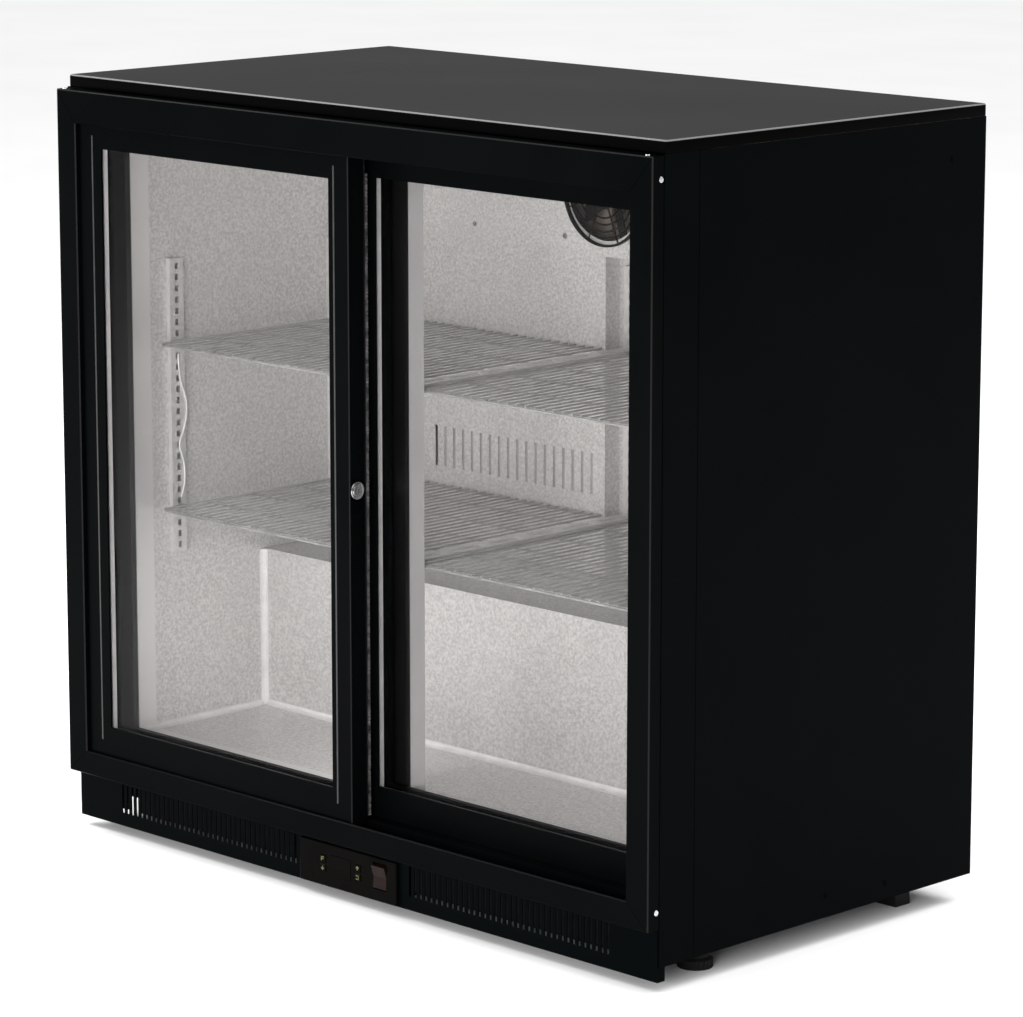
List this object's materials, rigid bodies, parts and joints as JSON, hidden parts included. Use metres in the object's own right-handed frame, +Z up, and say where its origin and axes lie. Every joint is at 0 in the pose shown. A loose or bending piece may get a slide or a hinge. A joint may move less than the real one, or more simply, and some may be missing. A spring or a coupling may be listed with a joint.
{
  "type": "under-counter fridge",
  "caption": "Black under-counter bottle fridge: two sliding double-glazed doors, wire shelves, fan-cooled interior, louvred kick plate and levelling feet.",
  "frame": {"origin": "on the floor, under the middle of the cabinet", "axes": "+X along the width, to the right as seen from the front; +Y from the doors to the back; +Z up"},
  "size_m": [0.9, 0.5, 0.85],
  "materials": {
    "black_steel": "satin black powder coat",
    "worktop_steel": "semi-gloss black paint",
    "frame_black": "satin black extrusion",
    "stucco": "stucco embossed",
    "galvanised": "galvanised",
    "wire": "bright plated wire",
    "glass": "clear double glazing",
    "foam": "rigid foam",
    "black_plastic": "moulded",
    "control_gloss": "polished",
    "key_legend": "printed legend",
    "red_lens": "lit red lens",
    "brush": "brush pile",
    "nylon": "moulded",
    "coil": "finned block",
    "machine_black": "semi-gloss enamel",
    "foot_rubber": "moulded",
    "lock_chrome": "bright plated"
  },
  "bodies": {
    "cabinet": {"side_panel_left": "black_steel", "side_panel_right": "black_steel", "worktop": "worktop_steel", "back_panel": "black_steel", "base_pan": "galvanised", "insulation_foam": "foam", "liner_left": "stucco", "liner_right": "stucco", "liner_ceiling": "stucco", "liner_back": "stucco", "liner_floor": "stucco", "frame_jamb_left": "frame_black", "frame_jamb_right": "frame_black", "frame_head": "frame_black", "frame_sill": "frame_black", "centre_post": "frame_black", "kick_plate": "black_steel", "controller_housing": "control_gloss", "display_window": "control_gloss", "pilaster_left_front": "galvanised", "pilaster_left_rear": "galvanised", "pilaster_right_front": "galvanised", "pilaster_right_rear": "galvanised", "pilaster_centre_rear": "galvanised", "centre_rail_upper": "galvanised", "centre_rail_lower": "galvanised", "evaporator_cover": "stucco", "duct_panel": "stucco", "fan_guard": "black_plastic", "evaporator_fan_motor": "black_plastic", "evaporator_coil": "coil", "compressor": "machine_black", "condenser_coil": "coil", "condenser_fan_motor": "machine_black", "power_inlet": "black_plastic", "foot_rear_left": "foot_rubber", "foot_rear_right": "foot_rubber"},
    "left_door": {"door_left_frame": "frame_black", "door_left_glass": "glass", "brush_seal": "brush"},
    "right_door": {"door_right_frame": "frame_black", "door_right_glass": "glass"},
    "left_roller_a": {"door_left_roller_a": "nylon"},
    "left_roller_b": {"door_left_roller_b": "nylon"},
    "right_roller_a": {"door_right_roller_a": "nylon"},
    "right_roller_b": {"door_right_roller_b": "nylon"},
    "lock": {"lock_cylinder": "lock_chrome"},
    "rocker": {"rocker_switch": "red_lens"},
    "key_upper_left": {"key_upper_left": "key_legend"},
    "key_upper_right": {"key_upper_right": "key_legend"},
    "key_lower_left": {"key_lower_left": "key_legend"},
    "key_lower_right": {"key_lower_right": "key_legend"},
    "evaporator_rotor": {"evaporator_fan": "black_plastic"},
    "condenser_rotor": {"condenser_fan": "black_plastic"},
    "foot_front_left": {"foot_front_left": "foot_rubber"},
    "foot_front_right": {"foot_front_right": "foot_rubber"},
    "shelf_upper_left": {"shelf_upper_left": "wire"},
    "shelf_upper_right": {"shelf_upper_right": "wire"},
    "shelf_lower_left": {"shelf_lower_left": "wire"},
    "shelf_lower_right": {"shelf_lower_right": "wire"}
  },
  "joints": [
    {"name": "left_door_slide", "type": "slide", "parent": "cabinet", "child": "left_door", "axis": [1, 0, 0], "range_m": [0, 0.39]},
    {"name": "right_door_slide", "type": "slide", "parent": "cabinet", "child": "right_door", "axis": [-1, 0, 0], "range_m": [0, 0.39]},
    {"name": "left_roller_a_spin", "type": "hinge", "parent": "left_door", "child": "left_roller_a", "pos_m": [-0.3575, -0.23375, 0.0923], "axis": [0, 1, 0], "continuous": true},
    {"name": "left_roller_b_spin", "type": "hinge", "parent": "left_door", "child": "left_roller_b", "pos_m": [-0.0452, -0.23375, 0.0923], "axis": [0, 1, 0], "continuous": true},
    {"name": "right_roller_a_spin", "type": "hinge", "parent": "right_door", "child": "right_roller_a", "pos_m": [0.0452, -0.19575, 0.0923], "axis": [0, 1, 0], "continuous": true},
    {"name": "right_roller_b_spin", "type": "hinge", "parent": "right_door", "child": "right_roller_b", "pos_m": [0.3575, -0.19575, 0.0923], "axis": [0, 1, 0], "continuous": true},
    {"name": "lock_turn", "type": "hinge", "parent": "left_door", "child": "lock", "pos_m": [0.009, -0.23375, 0.449], "axis": [-1, 0, 0], "range_deg": [0, 90]},
    {"name": "rocker_tilt", "type": "hinge", "parent": "cabinet", "child": "rocker", "pos_m": [0.05, -0.2335, 0.04], "axis": [-1, 0, 0], "range_deg": [0, 14]},
    {"name": "key_upper_left_press", "type": "slide", "parent": "cabinet", "child": "key_upper_left", "axis": [0, 1, 0], "range_m": [0, 0.0008], "stiffness_N_per_m": 400},
    {"name": "key_upper_right_press", "type": "slide", "parent": "cabinet", "child": "key_upper_right", "axis": [0, 1, 0], "range_m": [0, 0.0008], "stiffness_N_per_m": 400},
    {"name": "key_lower_left_press", "type": "slide", "parent": "cabinet", "child": "key_lower_left", "axis": [0, 1, 0], "range_m": [0, 0.0008], "stiffness_N_per_m": 400},
    {"name": "key_lower_right_press", "type": "slide", "parent": "cabinet", "child": "key_lower_right", "axis": [0, 1, 0], "range_m": [0, 0.0008], "stiffness_N_per_m": 400},
    {"name": "evaporator_fan_spin", "type": "hinge", "parent": "cabinet", "child": "evaporator_rotor", "pos_m": [0, 0.1635, 0.727], "axis": [0, 1, 0], "continuous": true},
    {"name": "condenser_fan_spin", "type": "hinge", "parent": "cabinet", "child": "condenser_rotor", "pos_m": [-0.215, 0.147, 0.125], "axis": [1, 0, 0], "continuous": true},
    {"name": "foot_front_left_turn", "type": "hinge", "parent": "cabinet", "child": "foot_front_left", "pos_m": [-0.41, -0.138, 0], "axis": [0, 0, 1], "continuous": true},
    {"name": "foot_front_right_turn", "type": "hinge", "parent": "cabinet", "child": "foot_front_right", "pos_m": [0.41, -0.138, 0], "axis": [0, 0, 1], "continuous": true},
    {"name": "shelf_upper_left_lift", "type": "slide", "parent": "cabinet", "child": "shelf_upper_left", "axis": [0, 0, 1], "range_m": [0, 0.02]},
    {"name": "shelf_upper_right_lift", "type": "slide", "parent": "cabinet", "child": "shelf_upper_right", "axis": [0, 0, 1], "range_m": [0, 0.02]},
    {"name": "shelf_lower_left_lift", "type": "slide", "parent": "cabinet", "child": "shelf_lower_left", "axis": [0, 0, 1], "range_m": [0, 0.02]},
    {"name": "shelf_lower_right_lift", "type": "slide", "parent": "cabinet", "child": "shelf_lower_right", "axis": [0, 0, 1], "range_m": [0, 0.02]}
  ],
  "couplings": [
    {"joint": "left_roller_a_spin", "follows": "left_door_slide", "rad_per_m": 125},
    {"joint": "left_roller_b_spin", "follows": "left_door_slide", "rad_per_m": 125},
    {"joint": "right_roller_a_spin", "follows": "right_door_slide", "rad_per_m": -125},
    {"joint": "right_roller_b_spin", "follows": "right_door_slide", "rad_per_m": -125}
  ]
}
